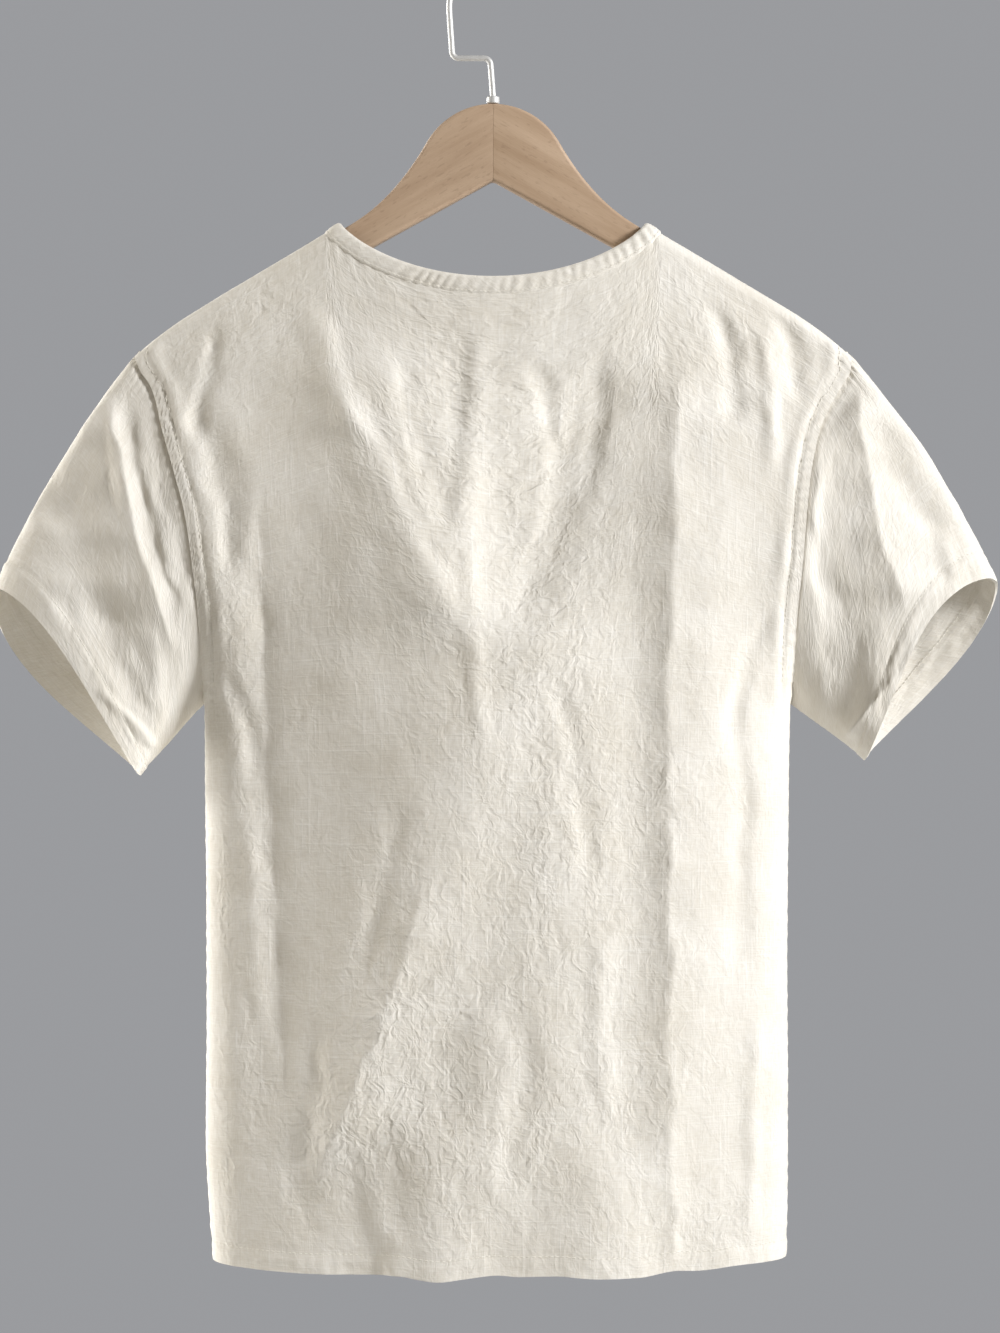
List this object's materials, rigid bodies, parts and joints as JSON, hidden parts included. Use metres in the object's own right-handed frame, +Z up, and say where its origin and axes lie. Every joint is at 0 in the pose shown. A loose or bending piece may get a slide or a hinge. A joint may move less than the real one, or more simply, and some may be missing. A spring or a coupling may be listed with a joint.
{
  "type": "short-sleeve blouse on a wooden hanger",
  "caption": "Loose collarless linen blouse with short set-in sleeves and a banded neck, hung by its shoulders on a flat wooden hanger with an offset wire hook; covers the upper body.",
  "frame": {"origin": "The hang point: the inside of the hook's bend at its top, where a rail bears.", "axes": "+X to the wearer's right and the picture's right, +Y to the wearer's front and away from the camera, +Z up"},
  "size_m": [0.6894, 0.1268, 0.8851],
  "materials": {
    "linen": "crumpled slub weave",
    "beech": "satin lacquer",
    "chrome_wire": "bright plated"
  },
  "bodies": {
    "root": {"back_panel": "linen", "front_panel": "linen", "neck_band": "linen", "left_sleeve": "linen", "right_sleeve": "linen", "hanger_wood": "beech", "hanger_hook": "chrome_wire", "hook_collar": "chrome_wire"}
  },
  "joints": []
}
